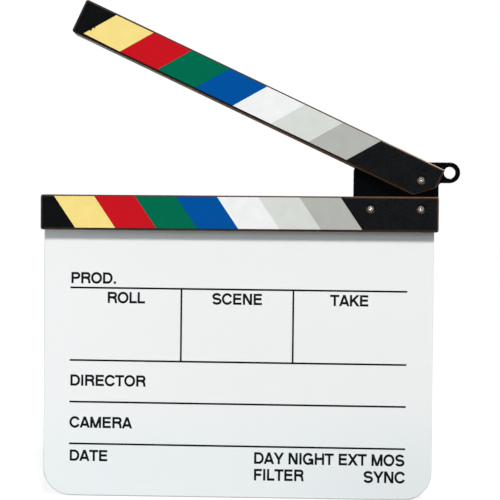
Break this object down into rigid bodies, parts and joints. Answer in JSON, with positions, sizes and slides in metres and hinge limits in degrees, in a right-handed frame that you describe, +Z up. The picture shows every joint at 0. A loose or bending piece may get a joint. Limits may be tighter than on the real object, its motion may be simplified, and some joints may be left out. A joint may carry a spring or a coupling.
{
  "type": "clapperboard",
  "caption": "Hand-held film clapperboard: white acrylic slate under a striped fixed stick, with a striped clap arm hinged on a black plate that ends in a lanyard eyelet.",
  "frame": {"origin": "middle of the board's lower edge, halfway through its thickness, where a hand holds it", "axes": "+Z up the board, +X towards the hinge end of the sticks, +Y out of the back; the printed front faces -Y"},
  "size_m": [0.3142, 0.0156, 0.3735],
  "materials": {
    "white_acrylic": "satin",
    "black_acrylic": "gloss",
    "fibreboard": "matte",
    "black_laminate": "matte",
    "adhesive_sheet": "matte",
    "zinc_steel": "satin",
    "nylon": "matte",
    "black_ink": "matte",
    "film_yellow": "satin",
    "film_red": "satin",
    "film_green": "satin",
    "film_blue": "satin",
    "film_white": "satin",
    "film_light_grey": "satin",
    "film_mid_grey": "satin"
  },
  "bodies": {
    "slate": {"board": "white_acrylic", "hinge_plate": "black_acrylic", "lower_front_bar": "fibreboard", "lower_front_facing": "black_laminate", "lower_front_adhesive": "adhesive_sheet", "lower_back_bar": "fibreboard", "lower_back_facing": "black_laminate", "lower_back_adhesive": "adhesive_sheet", "lower_stripe_yellow": "film_yellow", "lower_stripe_red": "film_red", "lower_stripe_green": "film_green", "lower_stripe_blue": "film_blue", "lower_stripe_white": "film_white", "lower_stripe_light_grey": "film_light_grey", "lower_stripe_mid_grey": "film_mid_grey", "clamp_screws": "zinc_steel", "clamp_nuts": "zinc_steel", "clamp_washers": "zinc_steel"},
    "arm": {"arm_spacer": "fibreboard", "arm_front_bar": "fibreboard", "arm_front_facing": "black_laminate", "arm_front_adhesive": "adhesive_sheet", "arm_back_bar": "fibreboard", "arm_back_facing": "black_laminate", "arm_back_adhesive": "adhesive_sheet", "arm_stripe_yellow": "film_yellow", "arm_stripe_red": "film_red", "arm_stripe_green": "film_green", "arm_stripe_blue": "film_blue", "arm_stripe_white": "film_white", "arm_stripe_light_grey": "film_light_grey", "arm_stripe_mid_grey": "film_mid_grey", "pivot_screw": "zinc_steel", "pivot_nut": "zinc_steel", "pivot_washer": "zinc_steel", "pivot_friction_washers": "nylon"}
  },
  "joints": [
    {"name": "arm_hinge", "type": "hinge", "parent": "slate", "child": "arm", "pos_m": [0.1362, 0, 0.241], "axis": [0, 1, 0], "range_deg": [-25.2, 64.8]}
  ]
}
